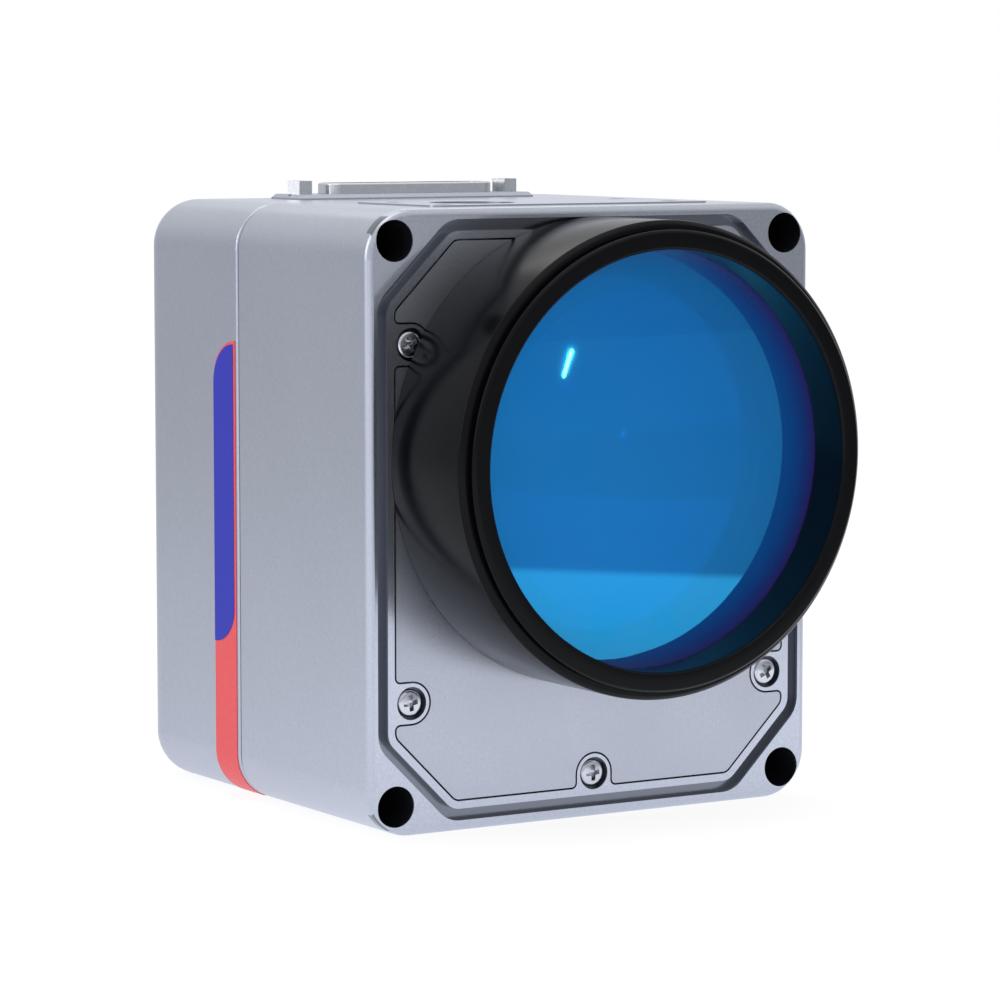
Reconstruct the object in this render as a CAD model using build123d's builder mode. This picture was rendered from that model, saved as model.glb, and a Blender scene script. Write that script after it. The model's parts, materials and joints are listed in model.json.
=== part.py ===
"""Two-axis galvo scanner head with a screw-in f-theta lens.

Millimetres, +Z up. The origin is the centre of the housing's bottom face. The lens looks along -Y,
the rear cover is at +Y, and the connector and the beam entry are on top.
"""

from build123d import *
import os
from math import cos, radians, sqrt, tan

# ------------------------------------------------------------------ driving dimensions: housing
case_width = 97.0
case_depth = 90.0
case_height = 114.0
case_corner_radius = 9.0
case_wall = 3.5
front_wall = 4.6
rear_wall = 4.0
front_edge_radius = 1.4
rear_edge_radius = 8.0
front_shell_depth = 49.3
seam_gap = 0.5
seam_edge_radius = 0.5
gasket_inset = 1.0
gasket_width = 1.9

# Long case screws in the four corners
case_screw_inset = 5.7
case_hole_radius = 3.8
case_boss_radius = 6.2
case_screw_seat = 44.0
case_thread_radius = 2.0
case_thread_length = 10.0
case_thread_relief = 2.0
case_head_radius = 3.5
case_head_height = 4.0
case_socket_radius = 1.7
screw_clearance = 0.2
thread_clearance = 0.05

# Front window: smooth plate, flush rim round it and a groove round the rim
plate_inset = 5.9
plate_corner_cut = 12.5
plate_corner_radius = 2.0
plate_recess = 0.1
window_gap = 0.35
rim_width = 1.4
groove_width = 2.15
groove_depth = 2.1
flange_overlap = 2.2
flange_thickness = 6.0

# Plate screws in round lands that reach in from the rim
side_screw_inset = 3.2
side_screw_height = 32.6
bottom_screw_inset = 2.3
land_radius = 3.7
land_mouth_radius = 0.8
counterbore_radius = 3.05
counterbore_depth = 2.1
plate_screw_radius = 1.5
plate_screw_head_radius = 2.6
plate_screw_head_height = 1.9
plate_screw_length = 7.2

# ------------------------------------------------------------------ driving dimensions: lens
lens_offset = 11.5
lens_neck_radius = 38.0
lens_neck_length = 10.0
lens_fit = 0.05
barrel_radius = 43.5
barrel_front = 23.9
barrel_edge_chamfer = 0.8
lens_groove = 0.7
lens_groove_radius = 40.8
ring_radius = 41.8
ring_front = 25.7
ring_edge_chamfer = 0.5
aperture_radius = 38.2
aperture_chamfer = 0.4
ring_skirt_depth = 9.1
glass_radius = 40.0
glass_thickness = 5.5
glass_front_bulge = 1.2
glass_rear_hollow = 2.0
mid_glass_radius = 34.0
mid_glass_thickness = 4.8
mid_glass_hollow = 1.2
rear_glass_radius = 30.0
rear_glass_thickness = 5.5
rear_glass_bulge = 1.2
glass_seat_width = 3.2
rear_glass_gap = 3.5
rear_retainer_length = 3.0

# ------------------------------------------------------------------ driving dimensions: top face
beam_shift = 13.4
beam_entry_radius = 8.0
entry_pad_width = 61.0
entry_pad_depth = 29.4
entry_pad_height = 0.3
entry_pad_corner = 2.0
entry_boss_depth = 4.0
entry_thread_radius = 1.65
entry_thread_spacing_x = 50.0
entry_thread_spacing_y = 18.0
entry_thread_depth = 6.5

connector_from_rear = 20.0
connector_pad_width = 53.0
connector_pad_depth = 12.4
connector_pad_height = 1.0
connector_pad_bevel = 0.7
shell_width = 38.38
shell_depth = 7.9
shell_side_angle = 10.0
shell_corner_radius = 2.2
shell_thickness = 0.5
shell_rim_radius = 0.35
shell_above_flange = 5.9
shell_above_pad = 2.1
connector_flange_width = 53.04
connector_flange_depth = 12.55
connector_flange_corner = 1.0
connector_flange_thickness = 0.8
connector_clearance = 0.25
connector_body_width = 40.0
connector_body_depth = 10.6
connector_body_height = 6.0
contact_pitch = 2.77
contact_row_spacing = 2.84
contact_hole_radius = 0.6
contact_hole_depth = 5.0
contact_tail_radius = 0.35
contact_tail_length = 3.2
long_row_contacts = 13
jackscrew_spacing = 47.04
jackscrew_flats = 4.8
jackscrew_height = 2.6
jackscrew_radius = 1.42
jackscrew_tail = 5.4
jackscrew_thread_radius = 1.15
jackscrew_thread_depth = 5.5

# ------------------------------------------------------------------ driving dimensions: label
label_thickness = 0.12
leaf_thickness = 0.08
label_width = 8.6
label_seam_margin = 0.25
leaf_margin = 0.7
leaf_top = 31.0
leaf_bottom = -27.0
leaf_top_drop = 7.6
leaf_bottom_rise = 6.8
label_end_height = 0.5
quarter_turn = 90

# ------------------------------------------------------------------ driving dimensions: galvos
mirror_depth = 21.7
motor_radius = 9.0
motor_length = 30.0
motor_edge_chamfer = 0.6
bearing_length = 3.5
bearing_radius = 6.0
shaft_radius = 2.0
shaft_clearance = 0.05
rotor_radius = 4.6
sensor_cap_radius = 8.0
sensor_cap_length = 11.0
sensor_wall = 1.5
sensor_disc_radius = 5.2
sensor_disc_thickness = 1.2
mirror_thickness = 2.0
x_mirror_length = 11.0
x_mirror_width = 13.0
y_mirror_length = 20.0
y_mirror_width = 14.0
mirror_corner_cut = 2.5
mount_radius = 3.4
mount_length = 6.5
mount_grip = 3.0
motor_nose_gap = 1.2

# Galvo block
block_half_width = 28.0
block_bottom = 6.0
block_seat_top = 50.0
block_wall_thickness = 12.0
block_wall_top = 87.0
block_wall_right = 14.0
motor_nose_showing = 0.6
clamp_slot = 1.2
clamp_fit = 0.05
clamp_slot_bottom = 27.0
clamp_screw_radius = 1.5
clamp_screw_head_radius = 2.75
clamp_screw_head_height = 3.0
clamp_screw_length = 16.0
clamp_screw_offset = 18.5
y_clamp_screw_height = 40.0
block_screw_radius = 2.0
block_screw_head_radius = 3.5
block_screw_head_height = 4.0
block_screw_x = 20.0
block_screw_low = 12.0
block_screw_high = 23.0
block_foot_thickness = 8.0
block_screw_bite = 4.5

# ------------------------------------------------------------------ driving dimensions: boards
board_thickness = 1.6
driver_board_margin = 9.0
driver_board_height = 46.0
driver_board_bottom = 6.0
board_spacing = 15.0
board_hole_inset = 4.0
standoff_radius = 2.6
board_screw_radius = 1.5
board_screw_head_radius = 2.75
board_screw_head_height = 1.8
standoff_stud = 2.5
heat_bar_thickness = 3.0
heat_bar_margin = 8.0
capacitor_radius = 4.0
capacitor_length = 10.0
capacitor_pitch = 13.0
capacitors_per_board = 4
transistor_width = 10.0
transistor_height = 15.0
transistor_thickness = 4.5
transistor_count = 4
header_width = 20.0
header_height = 6.0
header_depth = 7.0
interface_board_width = 64.0
interface_board_depth = 28.0
piece_gap = 0.3

# ------------------------------------------------------------------ places worked out from them
y_front = -case_depth / 2
y_rear = case_depth / 2
z_mid = case_height / 2
seam_y = y_front + front_shell_depth
front_shell_end = seam_y - seam_gap / 2
rear_shell_start = seam_y + seam_gap / 2
inner_width = case_width - 2 * case_wall
inner_height = case_height - 2 * case_wall
inner_corner_radius = case_corner_radius - case_wall
corner_x = case_width / 2 - case_screw_inset
corner_z = case_height / 2 - case_screw_inset
corner_points = [(x * corner_x, z_mid + z * corner_z) for x in (-1, 1) for z in (-1, 1)]

plate_width = case_width - 2 * plate_inset
plate_height = case_height - 2 * plate_inset
plate_y = y_front + plate_recess
window_back_y = y_front + front_wall
flange_back_y = window_back_y + flange_thickness
rim_outer = window_gap + rim_width
groove_outer = rim_outer + groove_width
side_screw_x = plate_width / 2 - side_screw_inset
bottom_screw_z = -plate_height / 2 + bottom_screw_inset
side_screw_points = [(x * side_screw_x, z * side_screw_height) for x in (-1, 1) for z in (-1, 1)]
plate_screw_points = side_screw_points + [(0, bottom_screw_z)]

lens_z = z_mid + lens_offset
lens_axis = Axis((0, 0, lens_z), (0, 1, 0))
lens_plane = Plane.XY.offset(lens_z)
mirror_y = y_front + mirror_depth
rear_inner_y = y_rear - rear_wall

entry_top = case_height + entry_pad_height
connector_y = y_rear - connector_from_rear
connector_pad_top = case_height + connector_pad_height
connector_shell_top = connector_pad_top + shell_above_pad
connector_flange_top = connector_shell_top - shell_above_flange
connector_flange_bottom = connector_flange_top - connector_flange_thickness
connector_body_bottom = connector_flange_bottom - connector_body_height
interface_board_top = connector_body_bottom - contact_tail_length

mount_reach = mount_length - mount_grip + motor_nose_gap
motor_nose_y = mirror_y + x_mirror_length / 2 + mount_reach
motor_nose_z = lens_z - y_mirror_length / 2 - mount_reach
block_screw_points = [(x * block_screw_x, z) for x in (-1, 1) for z in (block_screw_low, block_screw_high)]

driver_board_width = inner_width - 2 * driver_board_margin
board_top = driver_board_bottom + driver_board_height
driver_hole_x = driver_board_width / 2 - board_hole_inset
driver_hole_low = driver_board_bottom + board_hole_inset
driver_hole_high = board_top - board_hole_inset
driver_holes = [(x * driver_hole_x, z) for x in (-1, 1) for z in (driver_hole_low, driver_hole_high)]


def facing(y):
    """Sketch plane parallel to the front face: sketch x and y are part X and Z; extrudes to the front."""
    return Plane.XZ.offset(-y)


def finish(piece, name):
    """Label a finished piece and write its STEP file."""
    piece.part.label = name
    export_step(piece.part, f"parts/{name}.step")


os.makedirs("parts", exist_ok=True)


# ------------------------------------------------------------------ outlines shared by housing and plate
def eight_sided(grow):
    """The plate's outline with its four cut corners, moved outwards by grow."""
    with BuildSketch() as outline:
        Rectangle(plate_width + 2 * grow, plate_height + 2 * grow)
        chamfer(outline.vertices(), plate_corner_cut + (2 - sqrt(2)) * grow)
        fillet(outline.vertices(), plate_corner_radius + grow)
    return outline.sketch


def screw_lands(radius, reach):
    """Round lands at the plate screws, each joined to the rim by a straight neck of the given reach."""
    with BuildSketch() as lands:
        for x, z in side_screw_points:
            with Locations((x, z)):
                Circle(radius)
            with Locations((x + (reach / 2 if x > 0 else -reach / 2), z)):
                Rectangle(reach, 2 * radius)
        with Locations((0, bottom_screw_z)):
            Circle(radius)
        with Locations((0, bottom_screw_z - reach / 2)):
            Rectangle(2 * radius, reach)
    return lands.sketch


def notched(grow, land, mouth_radius):
    """Eight-sided outline less the screw lands, with the mouth of each notch rounded."""
    half_width = plate_width / 2 + grow
    half_height = plate_height / 2 + grow
    outline = eight_sided(grow)
    lands = screw_lands(land, side_screw_inset + 2 * rim_outer)
    tolerance = 0.01

    def at_mouth(corner):
        beside_screw = abs(abs(corner.Y) - side_screw_height) < land + tolerance
        on_side = abs(abs(corner.X) - half_width) < tolerance and beside_screw
        on_bottom = abs(corner.Y + half_height) < tolerance and abs(corner.X) < land + tolerance
        return on_side or on_bottom

    with BuildSketch() as window:
        add(outline)
        add(lands, mode=Mode.SUBTRACT)
        fillet(window.vertices().filter_by(at_mouth), mouth_radius)
    return window.sketch


plate_outline = notched(0, land_radius + window_gap, land_mouth_radius)
window_outline = notched(window_gap, land_radius, land_mouth_radius + window_gap)
rim_outline = eight_sided(rim_outer)
groove_outline = eight_sided(groove_outer)
flange_outline = eight_sided(flange_overlap)


def case_outline():
    """Rounded outline of the housing, in an open sketch that faces front."""
    with Locations((0, z_mid)):
        RectangleRounded(case_width, case_height, case_corner_radius)


def cavity_outline():
    """Inside of the housing walls, less the four screw bosses, in an open sketch that faces front."""
    with Locations((0, z_mid)):
        RectangleRounded(inner_width, inner_height, inner_corner_radius)
    with Locations(*corner_points):
        Circle(case_boss_radius, mode=Mode.SUBTRACT)


# ------------------------------------------------------------------ front housing
with BuildPart() as front_housing:
    with BuildSketch(facing(front_shell_end)):
        case_outline()
    extrude(amount=front_shell_end - y_front)
    fillet(front_housing.faces().sort_by(Axis.Y)[0].edges(), front_edge_radius)
    fillet(front_housing.faces().sort_by(Axis.Y)[-1].edges(), seam_edge_radius)
    # raised pad round the beam entry
    with BuildSketch(Plane.XY.offset(case_height - case_wall / 2)):
        with Locations((0, mirror_y)):
            RectangleRounded(entry_pad_width, entry_pad_depth, entry_pad_corner)
    extrude(amount=case_wall / 2 + entry_pad_height)
    # inside
    with BuildSketch(facing(front_shell_end)):
        cavity_outline()
    extrude(amount=front_shell_end - window_back_y, mode=Mode.SUBTRACT)
    # thicker wall under the pad for the threads, clear of the lens plate's flange
    boss_front = flange_back_y + piece_gap
    boss_back = mirror_y + entry_pad_depth / 2
    with BuildSketch(Plane.XY.offset(case_height - case_wall)):
        with Locations((0, (boss_front + boss_back) / 2)):
            Rectangle(entry_pad_width, boss_back - boss_front)
    extrude(amount=-entry_boss_depth)
    # groove, sunk rim and window
    with BuildSketch(facing(y_front + groove_depth)):
        with Locations((0, z_mid)):
            add(groove_outline)
            add(rim_outline, mode=Mode.SUBTRACT)
    extrude(amount=groove_depth, mode=Mode.SUBTRACT)
    with BuildSketch(facing(plate_y)):
        with Locations((0, z_mid)):
            add(rim_outline)
    extrude(amount=plate_recess, mode=Mode.SUBTRACT)
    with BuildSketch(facing(window_back_y)):
        with Locations((0, z_mid)):
            add(window_outline)
    extrude(amount=front_wall, mode=Mode.SUBTRACT)
    # plate screw holes
    with BuildSketch(facing(plate_y + counterbore_depth)):
        with Locations((0, z_mid)):
            with Locations(*plate_screw_points):
                Circle(counterbore_radius)
    extrude(amount=counterbore_depth, mode=Mode.SUBTRACT)
    with BuildSketch(facing(window_back_y)):
        with Locations((0, z_mid)):
            with Locations(*plate_screw_points):
                Circle(plate_screw_radius + screw_clearance)
    extrude(amount=front_wall, mode=Mode.SUBTRACT)
    # corner holes: wide down to the screw's seat, then clearance for its shank
    with BuildSketch(facing(y_front + case_screw_seat)):
        with Locations(*corner_points):
            Circle(case_hole_radius)
    extrude(amount=case_screw_seat, mode=Mode.SUBTRACT)
    with BuildSketch(facing(front_shell_end)):
        with Locations(*corner_points):
            Circle(case_thread_radius + screw_clearance)
    extrude(amount=front_shell_depth - case_screw_seat, mode=Mode.SUBTRACT)
    # beam entry and its four threads
    with BuildSketch(Plane.XY.offset(entry_top)):
        with Locations((-beam_shift, mirror_y)):
            Circle(beam_entry_radius)
    extrude(amount=-(entry_pad_height + case_wall + entry_boss_depth), mode=Mode.SUBTRACT)
    with BuildSketch(Plane.XY.offset(entry_top)):
        with Locations((0, mirror_y)):
            with GridLocations(entry_thread_spacing_x, entry_thread_spacing_y, 2, 2):
                Circle(entry_thread_radius)
    extrude(amount=-entry_thread_depth, mode=Mode.SUBTRACT)
finish(front_housing, "front_housing")


# ------------------------------------------------------------------ D connector outline, shared by its pieces
def d_outline(grow):
    """Trapezoid with rounded corners; its wide side faces the front. Moved outwards by grow."""
    slope = tan(radians(shell_side_angle))
    lean = slope * (shell_depth + 2 * grow)
    half_wide = shell_width / 2 + grow * (1 / cos(radians(shell_side_angle)) + slope)
    front = -shell_depth / 2 - grow
    back = shell_depth / 2 + grow
    with BuildSketch() as outline:
        with BuildLine():
            Polyline((-half_wide, front), (half_wide, front), (half_wide - lean, back),
                     (-half_wide + lean, back), close=True)
        make_face()
        fillet(outline.vertices(), shell_corner_radius + grow)
    return outline.sketch


shell_outer = d_outline(0)
shell_inner = d_outline(-shell_thickness)
wall_cutout = d_outline(connector_clearance)
jackscrew_points = [(x * jackscrew_spacing / 2, connector_y) for x in (-1, 1)]

# ------------------------------------------------------------------ rear cover
with BuildPart() as rear_cover:
    with BuildSketch(facing(y_rear)):
        case_outline()
    extrude(amount=y_rear - rear_shell_start)
    fillet(rear_cover.faces().sort_by(Axis.Y)[-1].edges(), rear_edge_radius)
    fillet(rear_cover.faces().sort_by(Axis.Y)[0].edges(), seam_edge_radius)
    # raised pad with bevelled edges round the connector
    with BuildSketch(Plane.XY.offset(case_height - case_wall / 2)):
        with Locations((0, connector_y)):
            Rectangle(connector_pad_width, connector_pad_depth)
    extrude(amount=case_wall / 2 + connector_pad_height)
    chamfer(rear_cover.faces().sort_by(Axis.Z)[-1].edges(), connector_pad_bevel)
    # inside
    with BuildSketch(facing(rear_inner_y)):
        cavity_outline()
    extrude(amount=rear_inner_y - rear_shell_start, mode=Mode.SUBTRACT)
    # pocket for the connector's flange, cut-out for its shell, holes for the jackscrews
    with BuildSketch(Plane.XY.offset(connector_flange_top)):
        with Locations((0, connector_y)):
            Rectangle(connector_flange_width + 2 * connector_clearance,
                      connector_flange_depth + 2 * connector_clearance)
    extrude(amount=-case_wall, mode=Mode.SUBTRACT)
    with BuildSketch(Plane.XY.offset(connector_pad_top)):
        with Locations((0, connector_y)):
            add(wall_cutout)
        with Locations(*jackscrew_points):
            Circle(jackscrew_radius + screw_clearance)
    extrude(amount=-(connector_pad_height + case_wall), mode=Mode.SUBTRACT)
    # threads for the case screws
    with BuildSketch(facing(rear_shell_start + case_thread_length + case_thread_relief)):
        with Locations(*corner_points):
            Circle(case_thread_radius + thread_clearance)
    extrude(amount=case_thread_length + case_thread_relief, mode=Mode.SUBTRACT)
    # threads for the board standoffs
    with BuildSketch(facing(rear_inner_y + standoff_stud)):
        with Locations(*driver_holes):
            Circle(board_screw_radius + thread_clearance)
    extrude(amount=standoff_stud, mode=Mode.SUBTRACT)
finish(rear_cover, "rear_cover")

# ------------------------------------------------------------------ gasket in the seam
with BuildPart() as seam_gasket:
    with BuildSketch(facing(rear_shell_start)):
        with Locations((0, z_mid)):
            RectangleRounded(case_width - 2 * gasket_inset, case_height - 2 * gasket_inset,
                             case_corner_radius - gasket_inset)
            RectangleRounded(case_width - 2 * (gasket_inset + gasket_width),
                             case_height - 2 * (gasket_inset + gasket_width),
                             case_corner_radius - gasket_inset - gasket_width, mode=Mode.SUBTRACT)
        with Locations(*corner_points):
            Circle(case_thread_radius + screw_clearance, mode=Mode.SUBTRACT)
    extrude(amount=seam_gap)
finish(seam_gasket, "seam_gasket")

# ------------------------------------------------------------------ case screws, deep in the corner holes
case_seat_y = y_front + case_screw_seat
with BuildPart() as case_screws:
    with BuildSketch(facing(case_seat_y)):
        with Locations(*corner_points):
            Circle(case_head_radius)
    extrude(amount=case_head_height)
    with BuildSketch(facing(rear_shell_start + case_thread_length)):
        with Locations(*corner_points):
            Circle(case_thread_radius)
    extrude(amount=rear_shell_start + case_thread_length - case_seat_y)
    with BuildSketch(facing(case_seat_y - case_head_height / 2)):
        with Locations(*corner_points):
            RegularPolygon(case_socket_radius, 6)
    extrude(amount=case_head_height / 2, mode=Mode.SUBTRACT)
finish(case_screws, "case_screws")

# ------------------------------------------------------------------ lens plate
with BuildPart() as lens_plate:
    with BuildSketch(facing(window_back_y)):
        with Locations((0, z_mid)):
            add(plate_outline)
    extrude(amount=window_back_y - plate_y)
    with BuildSketch(facing(flange_back_y)):
        with Locations((0, z_mid)):
            add(flange_outline)
    extrude(amount=flange_thickness)
    with BuildSketch(facing(flange_back_y)):
        with Locations((0, lens_z)):
            Circle(lens_neck_radius + lens_fit)
    extrude(amount=flange_back_y - plate_y, mode=Mode.SUBTRACT)
    with BuildSketch(facing(flange_back_y)):
        with Locations((0, z_mid)):
            with Locations(*plate_screw_points):
                Circle(plate_screw_radius + thread_clearance)
    extrude(amount=flange_thickness, mode=Mode.SUBTRACT)
    with BuildSketch(facing(flange_back_y)):
        with Locations(*block_screw_points):
            Circle(block_screw_radius + thread_clearance)
    extrude(amount=block_screw_bite + piece_gap, mode=Mode.SUBTRACT)
finish(lens_plate, "lens_plate")

# ------------------------------------------------------------------ plate screws
plate_seat_y = plate_y + counterbore_depth
with BuildPart() as plate_screws:
    with BuildSketch(facing(plate_seat_y)):
        with Locations((0, z_mid)):
            with Locations(*plate_screw_points):
                Circle(plate_screw_head_radius)
    extrude(amount=plate_screw_head_height)
    fillet(plate_screws.faces().group_by(Axis.Y)[0].edges(), plate_screw_head_height / 3)
    with BuildSketch(facing(plate_seat_y + plate_screw_length)):
        with Locations((0, z_mid)):
            with Locations(*plate_screw_points):
                Circle(plate_screw_radius)
    extrude(amount=plate_screw_length)
finish(plate_screws, "plate_screws")


# ------------------------------------------------------------------ f-theta lens, turned about its axis
def turned(points):
    """Piece turned about the lens axis from a closed outline of (radius, y) points."""
    with BuildPart() as piece:
        with BuildSketch(lens_plane):
            with BuildLine():
                Polyline(*points, close=True)
            make_face()
        revolve(axis=lens_axis)
    return piece


barrel_front_y = y_front - barrel_front
barrel_inner = glass_radius + lens_fit
ring_front_y = y_front - ring_front
ring_back_y = barrel_front_y - lens_groove
glass_front_y = ring_front_y + ring_skirt_depth + ring_edge_chamfer
glass_back_y = glass_front_y + glass_thickness
neck_end_y = plate_y + lens_neck_length
mid_seat_y = glass_back_y + glass_seat_width
mid_bore = mid_glass_radius + lens_fit
mid_back_y = mid_seat_y + mid_glass_thickness
rear_bore = rear_glass_radius + lens_fit
rear_seat_y = mid_back_y + rear_glass_gap
rear_back_y = rear_seat_y + rear_glass_thickness
retainer_back_y = rear_back_y + rear_retainer_length

lens_barrel = turned([
    (barrel_radius, plate_y),
    (barrel_radius, barrel_front_y + barrel_edge_chamfer),
    (barrel_radius - barrel_edge_chamfer, barrel_front_y),
    (lens_groove_radius + lens_fit, barrel_front_y),
    (lens_groove_radius + lens_fit, glass_front_y),
    (barrel_inner, glass_front_y),
    (barrel_inner, glass_back_y),
    (mid_bore, glass_back_y),
    (mid_bore, mid_back_y),
    (rear_bore, mid_back_y),
    (rear_bore, neck_end_y),
    (lens_neck_radius, neck_end_y),
    (lens_neck_radius, plate_y),
])
finish(lens_barrel, "lens_barrel")

lens_front_ring = turned([
    (aperture_radius + aperture_chamfer, ring_front_y),
    (ring_radius - ring_edge_chamfer, ring_front_y),
    (ring_radius, ring_front_y + ring_edge_chamfer),
    (ring_radius, ring_back_y),
    (lens_groove_radius, ring_back_y),
    (lens_groove_radius, glass_front_y),
    (aperture_radius + aperture_chamfer, glass_front_y),
    (aperture_radius, ring_back_y),
    (aperture_radius, ring_front_y + aperture_chamfer),
])
finish(lens_front_ring, "lens_front_ring")


def bulge(radius, y, sag):
    """Curved face of a lens element from its flat seat to the lens axis, in an open line."""
    TangentArc((0, y + sag), (radius - glass_seat_width, y), tangent=(1, 0))


def glass_disc(radius, front_y, back_y, front_sag, rear_sag):
    """Lens element: flat seats from front_y to back_y at its rim, and faces that bulge by their sags."""
    seat = radius - glass_seat_width
    with BuildPart() as glass:
        with BuildSketch(lens_plane):
            with BuildLine():
                Polyline((seat, back_y), (radius, back_y), (radius, front_y), (seat, front_y))
                bulge(radius, front_y, -front_sag)
                Line((0, front_y - front_sag), (0, back_y + rear_sag))
                bulge(radius, back_y, rear_sag)
            make_face()
        revolve(axis=lens_axis)
    return glass


def seat_ring(radius, front_y, back_y):
    """Ring that holds a lens element by its flat seat."""
    inner = radius - glass_seat_width
    return turned([(inner, front_y), (radius, front_y), (radius, back_y), (inner, back_y)])


lens_front_glass = glass_disc(glass_radius, glass_front_y, glass_back_y,
                              glass_front_bulge, -glass_rear_hollow)
finish(lens_front_glass, "lens_front_glass")

lens_mid_glass = glass_disc(mid_glass_radius, mid_seat_y, mid_back_y, -mid_glass_hollow, -mid_glass_hollow)
finish(lens_mid_glass, "lens_mid_glass")

lens_rear_glass = glass_disc(rear_glass_radius, rear_seat_y, rear_back_y, rear_glass_bulge, rear_glass_bulge)
finish(lens_rear_glass, "lens_rear_glass")

lens_front_spacer = seat_ring(mid_glass_radius, glass_back_y, mid_seat_y)
finish(lens_front_spacer, "lens_front_spacer")

lens_rear_spacer = seat_ring(rear_glass_radius, mid_back_y, rear_seat_y)
finish(lens_rear_spacer, "lens_rear_spacer")

lens_rear_retainer = seat_ring(rear_glass_radius, rear_back_y, retainer_back_y)
finish(lens_rear_retainer, "lens_rear_retainer")

# ------------------------------------------------------------------ connector on the top face
with BuildPart() as connector_shell:
    with BuildSketch(Plane.XY.offset(connector_flange_bottom)):
        with Locations((0, connector_y)):
            RectangleRounded(connector_flange_width, connector_flange_depth, connector_flange_corner)
    extrude(amount=connector_flange_thickness)
    with BuildSketch(Plane.XY.offset(connector_flange_bottom)):
        with Locations((0, connector_y)):
            add(shell_outer)
    extrude(amount=connector_flange_thickness + shell_above_flange)
    fillet(connector_shell.faces().sort_by(Axis.Z)[-1].edges(), shell_rim_radius)
    with BuildSketch(Plane.XY.offset(connector_flange_bottom)):
        with Locations((0, connector_y)):
            add(shell_inner)
        with Locations(*jackscrew_points):
            Circle(jackscrew_radius + lens_fit)
    extrude(amount=connector_flange_thickness + shell_above_flange, mode=Mode.SUBTRACT)
finish(connector_shell, "connector_shell")

insulator_outline = d_outline(-shell_thickness - lens_fit)
short_row_contacts = long_row_contacts - 1
contact_points = [((i - (long_row_contacts - 1) / 2) * contact_pitch, connector_y - contact_row_spacing / 2)
                  for i in range(long_row_contacts)]
contact_points += [((i - (short_row_contacts - 1) / 2) * contact_pitch, connector_y + contact_row_spacing / 2)
                   for i in range(short_row_contacts)]
insulator_top = connector_shell_top - shell_rim_radius

with BuildPart() as connector_insulator:
    with BuildSketch(Plane.XY.offset(connector_body_bottom)):
        with Locations((0, connector_y)):
            Rectangle(connector_body_width, connector_body_depth)
    extrude(amount=connector_body_height)
    with BuildSketch(Plane.XY.offset(connector_flange_bottom)):
        with Locations((0, connector_y)):
            add(insulator_outline)
    extrude(amount=insulator_top - connector_flange_bottom)
    with BuildSketch(Plane.XY.offset(insulator_top)):
        with Locations(*contact_points):
            Circle(contact_hole_radius)
    extrude(amount=-contact_hole_depth, mode=Mode.SUBTRACT)
finish(connector_insulator, "connector_insulator")

with BuildPart() as connector_contacts:
    with BuildSketch(Plane.XY.offset(interface_board_top)):
        with Locations(*contact_points):
            Rectangle(2 * contact_tail_radius, 2 * contact_tail_radius)
    extrude(amount=contact_tail_length)
finish(connector_contacts, "connector_contacts")

with BuildPart() as connector_jackscrews:
    with BuildSketch(Plane.XY.offset(connector_pad_top)):
        with Locations(*jackscrew_points):
            RegularPolygon(jackscrew_flats / 2, 6, major_radius=False)
    extrude(amount=jackscrew_height)
    with BuildSketch(Plane.XY.offset(connector_pad_top)):
        with Locations(*jackscrew_points):
            Circle(jackscrew_radius)
    extrude(amount=-jackscrew_tail)
    with BuildSketch(Plane.XY.offset(connector_pad_top + jackscrew_height)):
        with Locations(*jackscrew_points):
            Circle(jackscrew_thread_radius)
    extrude(amount=-jackscrew_thread_depth, mode=Mode.SUBTRACT)
finish(connector_jackscrews, "connector_jackscrews")

# ------------------------------------------------------------------ label on the left side
label_start = rear_shell_start + seam_edge_radius + label_seam_margin
label_back = label_start + label_width
leaf_front = label_start + leaf_margin
side_plane = Plane.YZ.offset(-case_width / 2 - label_thickness)

with BuildPart() as label_red:
    with BuildSketch(facing(label_back)):
        with Locations((0, z_mid)):
            RectangleRounded(case_width + 2 * label_thickness, case_height + 2 * label_thickness,
                             case_corner_radius + label_thickness)
            RectangleRounded(case_width, case_height, case_corner_radius, mode=Mode.SUBTRACT)
        with Locations((-case_width / 2, z_mid + leaf_top)):
            Rectangle(2 * case_corner_radius, z_mid + leaf_top - label_end_height,
                      align=(Align.CENTER, Align.MAX), mode=Mode.INTERSECT)
    extrude(amount=label_width)
    # rounded top corner
    with BuildSketch(side_plane):
        with BuildLine():
            Line((label_start, z_mid + leaf_top), (label_back, z_mid + leaf_top))
            Line((label_back, z_mid + leaf_top), (label_back, z_mid + leaf_top - leaf_top_drop))
            EllipticalCenterArc((label_start, z_mid + leaf_top - leaf_top_drop), label_width, leaf_top_drop,
                                start_angle=0, arc_size=quarter_turn)
        make_face()
    extrude(amount=2 * label_thickness, both=True, mode=Mode.SUBTRACT)
finish(label_red, "label_red")

with BuildPart() as label_blue:
    with BuildSketch(side_plane):
        leaf_width = label_back - leaf_front
        top = z_mid + leaf_top - leaf_margin
        bottom = z_mid + leaf_bottom
        with BuildLine():
            EllipticalCenterArc((leaf_front, top - leaf_top_drop), leaf_width, leaf_top_drop,
                                start_angle=0, arc_size=quarter_turn)
            Line((leaf_front, top), (leaf_front, bottom + leaf_bottom_rise))
            EllipticalCenterArc((label_back, bottom + leaf_bottom_rise), leaf_width, leaf_bottom_rise,
                                start_angle=180, arc_size=quarter_turn)
            Line((label_back, bottom), (label_back, top - leaf_top_drop))
        make_face()
    extrude(amount=-leaf_thickness)
finish(label_blue, "label_blue")


# ------------------------------------------------------------------ galvos, each laid in its place
x_place = Plane(origin=(-beam_shift, motor_nose_y, lens_z), x_dir=(1, 0, 0), z_dir=(0, 1, 0))
y_place = Plane(origin=(0, mirror_y, motor_nose_z), x_dir=(1, 0, 0), z_dir=(0, 0, -1))


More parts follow.
